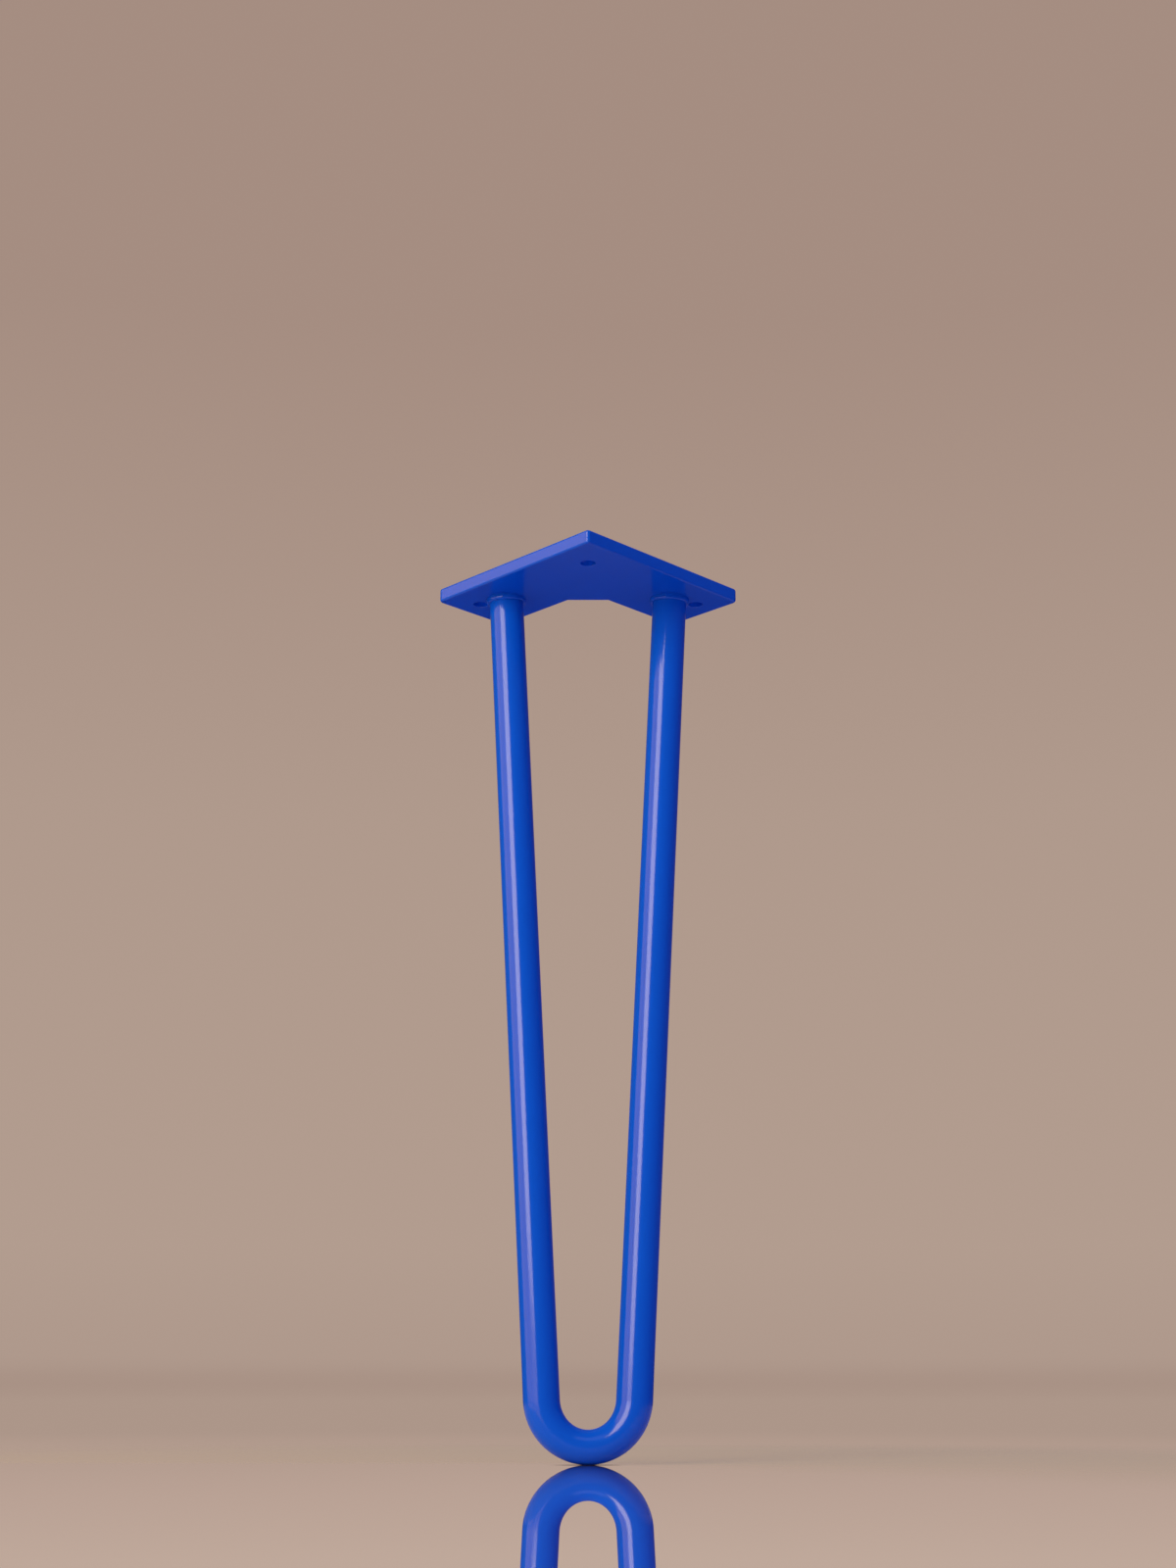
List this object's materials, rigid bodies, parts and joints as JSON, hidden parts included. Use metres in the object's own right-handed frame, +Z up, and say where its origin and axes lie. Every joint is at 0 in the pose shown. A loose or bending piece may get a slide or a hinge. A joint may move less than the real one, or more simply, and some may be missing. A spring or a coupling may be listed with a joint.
{
  "type": "hairpin table leg",
  "caption": "Hairpin table leg: a bent round steel rod with both ends welded under an L-shaped screw-on mounting plate, powder coated bright blue.",
  "frame": {"origin": "where the centre lines of the plate's two arms cross, on the mounting face", "axes": "+Z up, out of the mounting face; -Y towards the plate's outer corner and the foot's lean; X across the U of the rod"},
  "size_m": [0.106, 0.0751, 0.305],
  "materials": {
    "blue_powder_coat": "semi-gloss bright blue powder coat over mild steel"
  },
  "bodies": {
    "root": {"mounting_plate": "blue_powder_coat", "hairpin_rod": "blue_powder_coat", "weld_bead_left": "blue_powder_coat", "weld_bead_right": "blue_powder_coat"}
  },
  "joints": []
}
